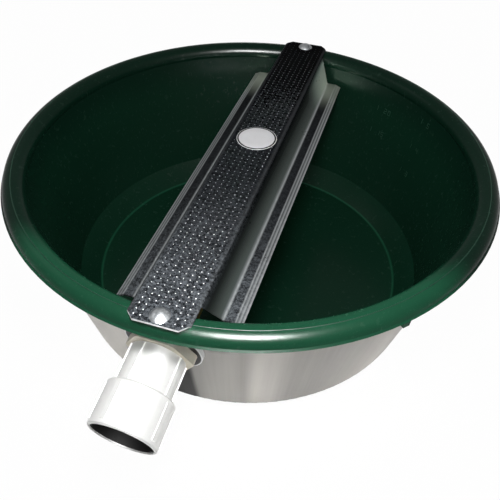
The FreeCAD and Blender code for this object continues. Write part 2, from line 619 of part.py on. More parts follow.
# ---------------------------------------------------------------- float arm
def build_lever():
    """The lever: hub on the hinge pin, a nose that pushes the plunger, a heel on the stop, and the rod's boss."""
    half_hub = "(ear_gap - side_play)"
    half = "lever_sheet / 2"
    pieces = [
        cylinder("lever_hub", "hub_radius", f"-{half_hub}", half_hub, pivot_frame),
        cylinder("lever_nose", "nose_radius", f"-{half}", half, inlet_frame, "x", ("0", "pivot_reach")),
        block("lever_web", (f"-{half}", half), ("0", "pivot_drop"),
              ("pivot_reach - nose_radius", "pivot_reach + nose_radius"), inlet_frame),
        block("lever_heel", (f"-{half}", half), ("pivot_drop", "pivot_drop + ear_radius"),
              ("pivot_reach - stop_reach + stop_gap", "pivot_reach"), inlet_frame),
        block("lever_arm", (f"-{half}", half), ("-hub_radius", "hub_radius"), ("0", "boss_start + 1"), arm_frame),
        cylinder("lever_boss", "boss_radius", "boss_start", "boss_end", arm_frame),
    ]
    whole = fused("lever_whole", *pieces)
    tools = [
        cylinder("lever_pin_bore", "pin_radius + slide_play", f"-{half_hub} - cut_spare", f"{half_hub} + cut_spare", pivot_frame),
        cylinder("lever_rod_hole", "rod_radius + thread_play", "rod_start", "boss_end + cut_spare", arm_frame),
        cylinder("lever_screw_hole", "screw_radius + thread_play", "0", "boss_radius + cut_spare", screw_frame),
    ]
    node(cut("lever_cut", whole, *tools), "float_lever")


def build_arm():
    """Rod, thumb screw, float and its two nuts, along the arm's own axis."""
    float_end = "(float_start + float_length)"
    rod_end = f"({float_end} + float_nut_height + rod_tail)"
    turned("float_rod", disc("rod_radius", "rod_start", rod_end), arm_frame)
    head = "(boss_radius + thumb_gap)"
    turned("rod_thumb_screw", [
        ("0", "rod_radius + rod_play"), ("screw_radius", "rod_radius + rod_play"), ("screw_radius", head),
        ("thumb_radius - thumb_chamfer", head), ("thumb_radius", f"{head} + thumb_chamfer"),
        ("thumb_radius", f"{head} + thumb_height - thumb_chamfer"),
        ("thumb_radius - thumb_chamfer", f"{head} + thumb_height"), ("0", f"{head} + thumb_height")], screw_frame)
    middle = "(float_start + float_length / 2)"
    seam = "(float_radius + seam_height)"
    turned("float", [
        ("rod_radius + rod_play", "float_start"), ("float_radius - float_bevel", "float_start"),
        ("float_radius", "float_start + float_bevel"),
        ("float_radius", f"{middle} - seam_width / 2"), (seam, f"{middle} - seam_width / 2"),
        (seam, f"{middle} + seam_width / 2"), ("float_radius", f"{middle} + seam_width / 2"),
        ("float_radius", f"{float_end} - float_bevel"),
        ("float_radius - float_bevel", float_end), ("rod_radius + rod_play", float_end)],
        arm_frame)
    spans = (("front", "float_start - float_nut_height", "float_start"),
             ("back", float_end, f"{float_end} + float_nut_height"))
    group("float_nuts", [hex_nut(side + "_float_nut", "float_nut_flats", low, high, "rod_radius + thread_play",
                                 arm_frame) for side, low, high in spans])


# ---------------------------------------------------------------- build, check and write
def check_and_write():
    """Stops on any failed object or bad shape, then writes one STEP file for each node."""
    doc.recompute()
    failed = [thing.Name for thing in doc.Objects if {"Invalid", "Error"} & set(thing.State)]
    if failed:
        raise RuntimeError("failed objects: " + ", ".join(failed))
    for thing in nodes:
        if thing.Shape.isNull() or not thing.Shape.isValid() or not thing.Shape.Solids:
            raise RuntimeError("bad shape: " + thing.Label)
    os.makedirs("parts", exist_ok=True)
    for thing in nodes:
        thing.Shape.exportStep(f"parts/{thing.Label}.step")
        print(f"{thing.Label}: {len(thing.Shape.Solids)} solid(s), {thing.Shape.Volume / 1000:.2f} cm3")
    print(len(nodes), "nodes; inlet frame", inlet_frame.Placement, "hinge", pivot_frame.Placement.Base)


build_tub()
build_shell()
build_cover()
build_fastenings()
build_coupling()
build_wall_fittings()
build_valve()
build_plunger()
build_lever()
build_arm()
check_and_write()
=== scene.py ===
# %% [markdown]
# # A poultry waterer in Blender
# The object is a green drinking bowl that sits in a steel pan. A zinc cover crosses it and hides a float
# valve, and a white pipe coupling brings in the water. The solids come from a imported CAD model, so this
# lesson adds what CAD leaves out: finishes, embossing, a blank label, moulded marks, light and a camera.

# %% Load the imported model
import json
import math

import bpy
from mathutils import Matrix, Vector


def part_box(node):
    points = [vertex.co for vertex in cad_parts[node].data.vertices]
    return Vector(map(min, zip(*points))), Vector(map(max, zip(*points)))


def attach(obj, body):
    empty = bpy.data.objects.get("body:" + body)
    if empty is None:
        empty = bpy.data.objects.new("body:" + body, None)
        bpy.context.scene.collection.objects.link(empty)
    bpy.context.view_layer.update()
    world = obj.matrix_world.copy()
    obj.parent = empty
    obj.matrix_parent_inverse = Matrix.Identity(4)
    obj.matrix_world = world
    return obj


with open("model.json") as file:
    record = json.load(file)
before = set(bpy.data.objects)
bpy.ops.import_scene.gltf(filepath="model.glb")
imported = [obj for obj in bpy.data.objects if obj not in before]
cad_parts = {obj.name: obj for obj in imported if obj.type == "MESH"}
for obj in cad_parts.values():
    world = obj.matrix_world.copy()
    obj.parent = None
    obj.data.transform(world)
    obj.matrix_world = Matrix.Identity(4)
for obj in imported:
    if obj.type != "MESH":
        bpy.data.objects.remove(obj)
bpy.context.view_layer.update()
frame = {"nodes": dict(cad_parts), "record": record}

nodes = frame["nodes"]

# %% [markdown]
# ## Sizes to work from
# A size that the model knows is read from it. The rest are the maker's own drawing sizes, in metres, and
# each is written once here. The cover's flat is `flat_half` wide on each side of the middle and loses
# `tip_cut` at each corner. The tub's wall starts at `wall_foot` from the axis and leans outwards, and the
# raised band round the floor starts at `floor_edge`.

# %% Sizes
rim_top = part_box("tub")[1].z
rim_lip = 0.0011
rim_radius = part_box("tub")[1].y - rim_lip
cover_sheet_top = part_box("valve_cover")[1].z
cover_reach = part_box("valve_cover")[1].y
bolt_places = (-0.167, 0.167)
flat_half, tip_cut = 0.0184, 0.005
roll_radius = 0.008
roll_middle = rim_radius - roll_radius
roll_height = rim_top - roll_radius
wall_lean = math.radians(14)
wall_foot = 0.13116
floor_edge = 0.1216
inlet = next(mount for mount in frame["record"]["mounts"] if mount["name"] == "inlet_socket")
print("rim radius", round(rim_radius, 4), "rim top", round(rim_top, 4), "cover top", round(cover_sheet_top, 4))

# %% [markdown]
# ## Shader maths that reads as maths
# A finish is a small graph of nodes. Written node by node it is long and hard to follow, so one class wraps
# a socket and gives it Python's operators. Then `1 - mask * 0.4` makes the Math nodes by itself.


# %% A socket that can be added and multiplied
class Signal:
    """An output socket of a finish's graph, with the operators that the finishes below use."""

    def __init__(self, finish, socket):
        self.finish, self.socket = finish, socket

    def maths(self, operation, first, second):
        return self.finish.node("ShaderNodeMath", {"operation": operation}, {0: first, 1: second})

    def __add__(self, other):
        return self.maths("ADD", self, other)

    def __sub__(self, other):
        return self.maths("SUBTRACT", self, other)

    def __rsub__(self, other):
        return self.maths("SUBTRACT", other, self)

    def __mul__(self, other):
        return self.maths("MULTIPLY", self, other)

    def __gt__(self, other):
        return self.maths("GREATER_THAN", self, other)

    __radd__, __rmul__ = __add__, __mul__


print("a Signal knows + - * and >")

# %% [markdown]
# A paint chart gives a colour as three numbers up to 255, and a shader wants linear light, so `paint`
# converts. `Graph` grows a tree of nodes by one call for each: the node's type, its settings, and what goes
# into its sockets, which may be a number or another node's output.


# %% Paint and a growing graph
def paint(red, green, blue):
    """A paint chart's colour as linear light."""
    parts = [value / 255 for value in (red, green, blue)]
    return (*[v / 12.92 if v <= 0.04045 else ((v + 0.055) / 1.055) ** 2.4 for v in parts], 1.0)


class Graph:
    """A node tree that grows by one call for each node."""

    def __init__(self, tree):
        self.tree = tree

    def feed(self, socket, value):
        if isinstance(value, Signal):
            self.tree.links.new(value.socket, socket)
        else:
            socket.default_value = value

    def node(self, kind, settings=None, inputs=None, out=0):
        """Adds one node: its settings, then its sockets, and gives back the chosen output."""
        made = self.tree.nodes.new(kind)
        for name, value in (settings or {}).items():
            if name == "stops":
                ramp = made.color_ramp.elements
                while len(ramp) < len(value):
                    ramp.new(0.5)
                for stop, (place, colour) in zip(ramp, value):
                    stop.position, stop.color = place, colour
            else:
                setattr(made, name, value)
        for name, value in (inputs or {}).items():
            self.feed(made.inputs[name], value)
        return Signal(self, made.outputs[out] if made.outputs else None)


print("paint chart white is", paint(255, 255, 255)[0])

# %% [markdown]
# `Finish` starts a material with its constant values on the shader's own sockets. Only what changes over
# the surface is driven through nodes: colour, roughness, metal and the bump. Textures are laid out in
# metres on the part itself, so a speck has the same size everywhere. `fade` and `ramp` turn a measure into
# a mask, and `blend` mixes two colours by that mask.


# %% A finish
class Finish(Graph):
    """A Principled material: constants first, then whatever varies over the surface."""

    def __init__(self, name, **constants):
        self.material = bpy.data.materials.new(name)
        self.material.use_nodes = True
        super().__init__(self.material.node_tree)
        self.shader = self.tree.nodes["Principled BSDF"]
        self.surface = Signal(self, self.shader.outputs[0])
        self.drive(**constants)

    def finish_with(self, shader):
        self.feed(self.tree.nodes["Material Output"].inputs["Surface"], shader)

    def drive(self, **sockets):
        for name, value in sockets.items():
            self.feed(self.shader.inputs[name.replace("_", " ")], value)

    def place(self, x=1.0, y=1.0, z=1.0):
        """Where the surface point is, in metres, stretched along each axis."""
        where = self.node("ShaderNodeTexCoord", out="Object")
        return self.node("ShaderNodeVectorMath", {"operation": "MULTIPLY"}, {0: where, 1: (x, y, z)})

    def axis(self, letter):
        where = self.node("ShaderNodeTexCoord", out="Object")
        return self.node("ShaderNodeSeparateXYZ", None, {0: where}, out=letter)

    def reach(self):
        """How far the surface point is from the bowl's own axis."""
        flat = self.place(1.0, 1.0, 0.0)
        return self.node("ShaderNodeVectorMath", {"operation": "LENGTH"}, {0: flat}, out="Value")

    def off_line(self, point, way):
        """How far the surface point is from a line through a point, along a way of length 1."""
        arm = self.node("ShaderNodeVectorMath", {"operation": "SUBTRACT"}, {0: self.place(), 1: tuple(point)})
        arm = self.node("ShaderNodeVectorMath", {"operation": "CROSS_PRODUCT"}, {0: arm, 1: tuple(way)})
        return self.node("ShaderNodeVectorMath", {"operation": "LENGTH"}, {0: arm}, out="Value")

    def fade(self, value, start, stop):
        """Rises smoothly from 0 at start to 1 at stop."""
        return self.node("ShaderNodeMapRange", {"interpolation_type": "SMOOTHSTEP"},
                         {0: value, 1: start, 2: stop, 3: 0.0, 4: 1.0})

    def noise(self, where, scale, detail=3.0, rough=0.55):
        return self.node("ShaderNodeTexNoise", None,
                         {"Vector": where, "Scale": scale, "Detail": detail, "Roughness": rough})

    def cells(self, where, scale):
        """A random colour for each cell."""
        return self.node("ShaderNodeTexVoronoi", None, {"Vector": where, "Scale": scale}, out="Color")

    def ramp(self, value, *stops):
        """A value turned to a grey by stops of (place, level)."""
        levels = [(place, (level, level, level, 1.0)) for place, level in stops]
        return self.node("ShaderNodeValToRGB", {"stops": levels}, {0: value})

    def blend(self, factor, first, second):
        return self.node("ShaderNodeMix", {"data_type": "RGBA"}, {0: factor, 6: first, 7: second}, out=2)

    def bump(self, height, depth):
        """Relief of this depth in metres, on the shader's normal."""
        normal = self.node("ShaderNodeBump", None, {"Height": height, "Distance": depth, "Strength": 1.0})
        self.drive(Normal=normal)


print("a Finish measures by place, axis, reach and off_line")

# %% [markdown]
# ## The green tub
# The tub is moulded plastic with a satin gloss. Real mouldings are never one green: the colour drifts a
# little, birds and fingers leave dull spots, and cleaning leaves fine scratches. The gloss is uneven too,
# and the skin has a faint orange-peel relief. All of that is noise at four sizes. The near part of the
# rolled rim is painted paler as a painted pool of light, and the rest of the rim is painted as dark as the
# inside. A thin pale ring where the floor meets its raised band is a painted highlight.

# %% Tub plastic
tub_green = Finish("green_tub_plastic", IOR=1.46, Specular_IOR_Level=0.08)
where = tub_green.place()
drift = tub_green.noise(where, 7.0, 2.0)
dust = tub_green.ramp(tub_green.noise(where, 230.0, 4.0, 0.7), (0.60, 0.0), (0.74, 1.0))
scratch = tub_green.noise(tub_green.place(900.0, 900.0, 18.0), 1.0, 2.0)
scratch = tub_green.ramp(scratch, (0.66, 0.0), (0.72, 1.0))
rim_starts, rim_full = 0.152, 0.160
rim = tub_green.fade(tub_green.reach(), rim_starts, rim_full)
# The painted pool of light on the rim lies on -Y, a little towards +X.
near_light_pool = tub_green.fade(tub_green.axis("Y") - tub_green.axis("X") * 0.2, -0.095, -0.128)
inside_green = tub_green.blend(drift, paint(11, 40, 27), paint(16, 51, 36))
# Painted light: the rim's green is paler on its near part and dark elsewhere.
lit_rim_green = tub_green.blend(drift, paint(22, 72, 50), paint(31, 88, 62))
lit_rim_green = tub_green.blend(near_light_pool, paint(9, 36, 25), lit_rim_green)
green = tub_green.blend(rim, inside_green, lit_rim_green)
# A ramp takes 0 to 1, so the distance from the axis goes in as a share of 200 mm.
ring_unit = 1 / 0.200
ring_at = floor_edge * ring_unit
# Painted highlight: a thin pale ring where the floor meets its raised band.
painted_ring_highlight = tub_green.ramp(tub_green.reach() * ring_unit,
                           (ring_at - 0.007, 0.0), (ring_at, 1.0), (ring_at + 0.005, 0.0))
green = tub_green.blend(painted_ring_highlight * 0.6, green, paint(34, 98, 70))
green = tub_green.blend(dust * 0.08, green, paint(84, 116, 100))
green = tub_green.blend(scratch * 0.04, green, paint(110, 140, 124))
tub_green.drive(Base_Color=green, Roughness=0.22 + drift * 0.06 + dust * 0.16 + scratch * 0.08)
tub_green.bump(tub_green.noise(where, 420.0, 2.0) + scratch * 0.4, 0.00004)
print("tub finish has", len(tub_green.tree.nodes), "nodes")

# %% [markdown]
# ## The steel pan
# The pan round the tub is plain bright sheet, and its soft upright streaks are partly handling marks and
# partly painted reflection. The angle round the axis gives the streaks: noise that is quick round the wall
# and slow up it. The front carries broader bands of painted reflection. The steel right beside the inlet
# and above it is painted dark, as painted shade and painted shadow from the coupling and the rim.

# %% Pan steel
pan_steel = Finish("pan_steel", Metallic=1.0)
turn = pan_steel.node("ShaderNodeMath", {"operation": "ARCTAN2"},
                      {0: pan_steel.axis("Y"), 1: pan_steel.axis("X")})
height = pan_steel.axis("Z")
streak_at = pan_steel.node("ShaderNodeCombineXYZ", None, {0: turn * 6.0, 1: height * 2.0, 2: 0.0})
streak = pan_steel.noise(streak_at, 2.2, 3.0, 0.6)
grain_at = pan_steel.node("ShaderNodeCombineXYZ", None, {0: turn * 60.0, 1: height * 8.0, 2: 0.0})
grain = pan_steel.noise(grain_at, 1.0, 2.0)
smudge = pan_steel.noise(pan_steel.place(), 26.0, 4.0, 0.65)
# The streaks are partly handling marks and partly painted reflection.
streaks_and_painted_reflection = streak * 0.6 + grain * 0.22 + smudge * 0.18
steel = pan_steel.blend(pan_steel.ramp(streaks_and_painted_reflection, (0.36, 0.0), (0.66, 1.0)),
                        paint(150, 149, 147), paint(182, 180, 177))
print("pan streaks:", len(pan_steel.tree.nodes), "nodes")

# %% [markdown]
# The painted reflection bands and the painted shade strip beside the inlet are placed by `share`, which runs
# from 0 at -X through one half at -Y to 1 at +X. `painted_shadow_over_inlet` is the painted shadow over the
# inlet: near its axis, and high on the wall.

# %% Painted reflection bands and painted shade
share = turn * (1 / math.pi) + 1.0
# Painted reflection: upright bands across the front of the pan.
painted_reflection_bands = pan_steel.ramp(share, (0.34, 1.0), (0.43, 1.0), (0.47, 0.0), (0.53, 0.12), (0.572, 0.14), (0.588, 0.0),
                      (0.605, 0.46), (0.632, 0.38), (0.655, 0.05), (0.72, 0.2), (0.77, 0.5), (0.82, 1.0))
# Painted shade: a dark strip on the steel beside the inlet.
painted_shade_strip = pan_steel.ramp(share, (0.46, 0.0), (0.475, 1.0), (0.512, 1.0), (0.520, 0.0))
front = pan_steel.fade(pan_steel.axis("Y"), -0.02, -0.09)
steel = pan_steel.blend(front * 0.7, steel, pan_steel.blend(painted_reflection_bands, paint(94, 92, 88), paint(199, 195, 189)))
steel = pan_steel.blend(painted_shade_strip, steel, paint(10, 10, 10))
off_axis = pan_steel.off_line(inlet["pos_m"], inlet["axis"])
# Painted shadow: a dark patch over the inlet, under the rim.
painted_shadow_over_inlet = pan_steel.fade(off_axis, 0.044, 0.034) * pan_steel.fade(height, 0.082, 0.092)
steel = pan_steel.blend(painted_shadow_over_inlet, steel, paint(12, 12, 12))
pan_steel.drive(Base_Color=steel, Roughness=0.30 + smudge * 0.16 - grain * 0.05)
pan_steel.bump(grain + smudge * 0.3, 0.00003)
print("pan finish has", len(pan_steel.tree.nodes), "nodes")

# %% [markdown]
# ## The galvanised cover
# Hot zinc freezes into flat crystals, called spangle. On this thin sheet they are about a millimetre across.
# Each crystal has its own grey, so Voronoi cells with a random colour for each cell are the natural start. A
# finer layer of cells and noise breaks them up. The greys are painted bright at the near end and dark towards
# the far one, as a painted light falloff, so each grey is given for near, middle and far.


# %% Galvanised sheet
def sheet_zinc(name, dark, light):
    """Zinc whose greys run from painted light at the near end to painted shade at the far end, each as a
    (dark, light) pair.
    """
    metal = Finish(name, Metallic=0.9, Specular_IOR_Level=0.1, Specular_Tint=(0.3, 0.3, 0.3, 1.0))
    where = metal.place()
    wander = metal.node("ShaderNodeTexNoise", None, {"Vector": where, "Scale": 260.0, "Detail": 3.0},
                        out="Color")
    bent = metal.node("ShaderNodeVectorMath", {"operation": "MULTIPLY_ADD"},
                      {0: wander, 1: (0.002, 0.002, 0.002), 2: where})
    flake = metal.node("ShaderNodeSeparateXYZ", None, {0: metal.cells(bent, 900.0)})
    fleck = metal.node("ShaderNodeSeparateXYZ", None, {0: metal.cells(bent, 2200.0)}, out="Y")
    cloud = metal.noise(where, 30.0, 4.0, 0.6)
    spangle = metal.ramp(flake * 0.45 + fleck * 0.35 + cloud * 0.2, (0.22, 0.0), (0.82, 1.0))
    # Painted light falloff: the greys go from bright at the near end to dark at the far end.
    far = metal.fade(metal.axis("Y"), -0.17, -0.02)
    farther = metal.fade(metal.axis("Y"), 0.0, 0.17)
    greys = []
    for pair in (dark, light):
        near_grey, middle_grey, far_grey = pair
        greys.append(metal.blend(farther, metal.blend(far, near_grey, middle_grey), far_grey))
    metal.drive(Roughness=0.25 + flake * 0.10 + cloud * 0.06)
    metal.bump(flake * 0.5 + fleck * 0.4, 0.00003)
    return metal, spangle, greys


zinc, spangle, (dark_grey, light_grey) = sheet_zinc(
    "galvanised_sheet", (paint(24, 27, 31), paint(8, 9, 11), paint(4, 5, 6)),
    (paint(108, 113, 118), paint(44, 47, 51), paint(16, 17, 19)))
speckled = zinc.blend(spangle, dark_grey, light_grey)
print("zinc sheet:", len(zinc.tree.nodes), "nodes")

# %% [markdown]
# The cover is one folded sheet, and each fold shows in the finish. From the middle out come the speckled
# flat, its rounded edge, the smooth web that drops from it, the web's foot, the speckled flange, and a lip
# with rolled lines; the rounded edge, the web's foot and the rolled lines carry painted highlights. The web
# has painted shade at its top and painted light lower down. `across` measures all this from the middle, as a
# share of 40 mm. The web and the flange carry a pale painted reflection at the far end, under the rim, and
# the -X side has painted shade. The cut ends of the sheet are bare metal, painted bright as a painted
# highlight, which a mask of the faces at its very ends finds.

# %% Folds of the cover
side = zinc.node("ShaderNodeMath", {"operation": "ABSOLUTE"}, {0: zinc.axis("X")})
across = side * (1 / 0.040)
smooth = zinc.ramp(across, (0.47, 0.0), (0.52, 1.0), (0.66, 1.0), (0.70, 0.0))
# Painted highlights: bright lines on the rounded edge, the web's foot and the lip's rolled lines.
painted_fold_highlights = zinc.ramp(across, (0.40, 0.0), (0.45, 0.12), (0.485, 0.0), (0.66, 0.0), (0.68, 0.8), (0.70, 1.0),
                   (0.73, 0.04), (0.86, 0.03), (0.88, 0.9), (0.90, 0.15), (0.93, 1.0), (0.95, 0.15),
                   (0.975, 1.0))
along = zinc.axis("Y")
# Painted light: the web is dark at its top and paler lower down.
web_painted_light = zinc.blend(zinc.fade(side, 0.0200, 0.0270), paint(30, 34, 33), paint(98, 106, 102))
# Painted reflection: the web goes pale towards the far end.
web_painted_light = zinc.blend(zinc.fade(along, 0.085, 0.150) * 0.85, web_painted_light, paint(176, 196, 186))
tone = zinc.blend(smooth, speckled, web_painted_light)
# Painted shade: the -X side of the cover is darker.
left_painted_shade = zinc.fade(zinc.axis("X"), -0.0345, -0.0200)
tone = zinc.blend(left_painted_shade, zinc.blend(0.35, tone, paint(8, 9, 10)), tone)
tone = zinc.blend(painted_fold_highlights * 0.85, tone, paint(172, 176, 177))
# Painted reflection: the web and flange go pale at the far end.
far_end_painted_reflection = zinc.fade(along, 0.095, 0.140) * zinc.fade(side, 0.0195, 0.0225)
tone = zinc.blend(far_end_painted_reflection * 0.6, tone, paint(196, 206, 190))
tip = zinc.node("ShaderNodeMath", {"operation": "ABSOLUTE"}, {0: along})
end_skin, corner_skin = 0.0003, 0.0002
end_face = tip > cover_reach - end_skin
corner_face = side + tip > flat_half - tip_cut + cover_reach - corner_skin
# Bare cut metal with a painted highlight: the sheet's cut ends are painted bright.
cut_edge_highlight = zinc.node("ShaderNodeClamp", None, {0: end_face + corner_face})
zinc.drive(Base_Color=zinc.blend(cut_edge_highlight, tone, paint(214, 216, 217)), Metallic=0.9 - smooth * 0.5)
print("zinc finish has", len(zinc.tree.nodes), "nodes")

# %% [markdown]
# ## Bolts, nuts and turned metal
# Small plated parts are brighter than the sheet. Plating dulls in spots, and a turned part shows fine rings
# where the tool passed. One function makes such a metal from its two tones, how rough it is, and how
# fine its marks are.


# %% Plated and turned metals
def small_metal(name, dark, light, rough, marks):
    metal = Finish(name, Metallic=1.0)
    where = metal.place()
    blotch = metal.noise(where, 260.0, 4.0, 0.65)
    ring = metal.noise(where, marks, 2.0)
    metal.drive(Base_Color=metal.blend(metal.ramp(blotch, (0.35, 0.0), (0.68, 1.0)), dark, light),
                Roughness=rough + blotch * 0.14 + ring * 0.05)
    metal.bump(ring, 0.00003)
    return metal


bolt_zinc = small_metal("bright_zinc_plate", paint(120, 123, 126), paint(176, 179, 181), 0.20, 900.0)
brass = small_metal("valve_brass", paint(150, 108, 48), paint(222, 178, 100), 0.22, 1300.0)
stainless = small_metal("stainless_rod", paint(150, 149, 146), paint(212, 211, 208), 0.16, 1800.0)
print("metals:", bolt_zinc.material.name, brass.material.name, stainless.material.name)

# %% [markdown]
# The dots pressed in the cover are the sheet's own zinc, painted bright on their tops as painted highlights.
# They take the same recipe as the sheet with lighter greys.

# %% Zinc with painted highlights for the dots
dot_zinc, spangle, (dark_grey, light_grey) = sheet_zinc(
    "dot_zinc_painted_highlights", (paint(214, 218, 222), paint(116, 120, 124), paint(26, 27, 30)),
    (paint(250, 251, 252), paint(178, 182, 186), paint(56, 58, 61)))
dot_zinc.drive(Base_Color=dot_zinc.blend(spangle, dark_grey, light_grey))
print("dot finish:", dot_zinc.material.name)

# %% [markdown]
# The washer behind the inlet's nut is painted dark on its face as painted shade, where it sits out of the
# light, and painted bright round its edge as a painted highlight. `off_line` tells the two apart by how far a
# point lies from the inlet's axis, which the imported record holds. It takes the length of the cross product
# with that axis.

# %% Washer with painted shade and a painted highlight
washer_zinc = Finish("washer_zinc", Metallic=0.8, Specular_IOR_Level=0.05)
washer_edge, washer_rim = 0.0238, 0.0246
blotch = washer_zinc.noise(washer_zinc.place(), 300.0)
# Painted shade: the washer's face is dark.
shaded_face = washer_zinc.blend(blotch, paint(7, 7, 8), paint(22, 22, 23))
# Painted highlight: a bright ring round the washer's edge.
painted_rim_highlight = washer_zinc.fade(washer_zinc.off_line(inlet["pos_m"], inlet["axis"]), washer_edge, washer_rim)
washer_zinc.drive(Base_Color=washer_zinc.blend(painted_rim_highlight, shaded_face, paint(214, 216, 217)),
                  Roughness=0.26 + blotch * 0.2)
washer_zinc.bump(blotch, 0.00002)
print("washer edge starts", washer_edge, "m from the inlet's axis")

# %% [markdown]
# ## White, cream and black mouldings
# The coupling is white PVC, its nut is cream nylon and the seals are rubber. White plastic shows its flow
# as faint mottling and picks up grey dust, and rubber is dull with fine pits. They share one recipe with
# different numbers.


# %% Moulded plastics and rubber
def moulding(name, clean, soiled, rough, soil, pits, specular=0.5):
    plastic = Finish(name, Specular_IOR_Level=specular)
    where = plastic.place()
    flow = plastic.noise(where, 60.0, 3.0)
    dust = plastic.ramp(plastic.noise(where, 340.0, 4.0, 0.7), (0.56, 0.0), (0.76, 1.0))
    colour = plastic.blend(flow * soil, clean, soiled)
    plastic.drive(Base_Color=plastic.blend(dust * soil, colour, soiled),
                  Roughness=rough + flow * 0.10 + dust * 0.12)
    plastic.bump(plastic.noise(where, 900.0, 2.0), pits)
    return plastic


pvc = moulding("white_pvc", paint(250, 250, 248), paint(226, 225, 220), 0.42, 0.10, 0.00003)
cream = moulding("cream_nylon", paint(226, 220, 201), paint(176, 166, 142), 0.42, 0.35, 0.00005)
nylon = moulding("white_nylon", paint(226, 224, 217), paint(188, 184, 172), 0.40, 0.3, 0.00004)
rubber = moulding("black_rubber", paint(8, 8, 9), paint(30, 30, 29), 0.62, 0.20, 0.00008, 0.05)
float_black = moulding("float_plastic", paint(28, 28, 30), paint(82, 82, 80), 0.40, 0.22, 0.00006, 0.4)
blank_vinyl = moulding("blank_label_vinyl", paint(222, 222, 224), paint(186, 187, 190), 0.34, 0.25, 0.00004)
label_ink = moulding("label_border_ink", paint(12, 13, 15), paint(44, 45, 47), 0.45, 0.15, 0.00003, 0.1)
mark_green = moulding("raised_green_marks", paint(24, 62, 46), paint(46, 84, 66), 0.30, 0.4, 0.00002, 0.2)
print("mouldings:", pvc.material.name, cream.material.name, nylon.material.name)

# %% [markdown]
# ## Each part gets its finish
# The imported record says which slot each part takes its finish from, so one table from slot to finish
# dresses every part of the model. Only the inlet's washer has a finish of its own.

# %% Dress the model
finishes = {
    "tub_plastic": tub_green, "shell_steel": pan_steel, "zinc_sheet": zinc, "bright_zinc": bolt_zinc,
    "white_pvc": pvc, "cream_nylon": cream, "white_nylon": nylon, "black_rubber": rubber, "brass": brass,
    "stainless": stainless, "float_plastic": float_black,
}
slot_of = {part["node"]: part["material_slot"] for part in frame["record"]["subparts"]}
for name, part in nodes.items():
    part.data.materials.clear()
    part.data.materials.append(finishes[slot_of[name]].material)
nodes["outer_washer"].data.materials[0] = washer_zinc.material
print({name: slot_of[name] for name in sorted(nodes)})

# %% [markdown]
# ## Pieces made in mesh code
# Small forms are gathered into one mesh each. `mesh_piece` takes corners and faces, makes an object, gives
# it a finish and lets it ride on the bowl. `lathe` turns a short profile round a centre, which suits the
# embossed dots and the label.


# %% Mesh helpers
def mesh_piece(name, corners, faces, finish, body="bowl", smooth=True):
    mesh = bpy.data.meshes.new(name)
    mesh.from_pydata([tuple(corner) for corner in corners], [], faces)
    mesh.polygons.foreach_set("use_smooth", [smooth] * len(mesh.polygons))
    mesh.materials.append(finish.material)
    piece = bpy.data.objects.new(name, mesh)
    bpy.context.scene.collection.objects.link(piece)
    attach(piece, body)
    print(name, "has", len(mesh.polygons), "faces")
    return piece


def lathe(centre, profile, steps, corners, faces):
    """Turns a profile of (radius, height) about a centre; a radius of 0 closes it with a fan."""
    rings = []
    for radius, height in profile:
        if radius == 0:
            corners.append(centre + Vector((0, 0, height)))
            rings.append([len(corners) - 1] * steps)
            continue
        rings.append(list(range(len(corners), len(corners) + steps)))
        for step in range(steps):
            angle = 2 * math.pi * step / steps
            corners.append(centre + Vector((radius * math.cos(angle), radius * math.sin(angle), height)))
    for low, high in zip(rings, rings[1:]):
        for step in range(steps):
            after = (step + 1) % steps
            loop = [low[step], low[after], high[after], high[step]]
            faces.append([corner for index, corner in enumerate(loop) if corner not in loop[:index]])


print("mesh helpers are ready")

# %% [markdown]
# ## Embossed dots on the cover
# The cover's flat top is pressed with rows of small round pimples, so that it stiffens and isn't slippery.
# A bump map would vanish from the side, so each pimple is a low dome. Eight fit across the flat. The
# places of the bolts, the label and the cut corners stay flat.

# %% Pressed dots
dot_pitch, dot_radius, dot_rise, dots_across = 0.00405, 0.00034, 0.00015, 8
bolt_clear, tip_clear, end_clear = 0.0085, 0.0016, 0.003
label_place, label_radius = Vector((0.0006, 0.0112, 0.0)), 0.0148
dot_side = [(dot_radius, -0.0001), (dot_radius * 0.98, dot_rise * 0.25), (dot_radius * 0.70, dot_rise * 0.72),
            (dot_radius * 0.36, dot_rise * 0.95), (0, dot_rise)]
corners, faces, count = [], [], 0
rows = int((cover_reach - end_clear) / dot_pitch)
for row in range(-rows, rows + 1):
    for column in range(dots_across):
        spot = Vector(((column - (dots_across - 1) / 2) * dot_pitch, row * dot_pitch, 0.0))
        near_bolt = min(abs(spot.y - place) for place in bolt_places) < bolt_clear and abs(spot.x) < bolt_clear
        off_tip = abs(spot.x) - (flat_half - tip_cut) + abs(spot.y) - cover_reach > -tip_clear
        if near_bolt or off_tip or (spot - label_place).length < label_radius + dot_radius:
            continue
        lathe(spot + Vector((0, 0, cover_sheet_top)), dot_side, 10, corners, faces)
        count += 1
mesh_piece("cover_dots", corners, faces, dot_zinc)
print("dots pressed:", count)

# %% [markdown]
# ## A blank label
# A round vinyl label sits near the middle of the cover. This one is left blank, with a plain dark border.
# Real vinyl has thickness, so it is built of three thin discs: the white vinyl with its rounded edge, the
# dark ink, and a white face that leaves the ink as a ring. Each is a little domed, as vinyl is over a flat
# that isn't quite flat.

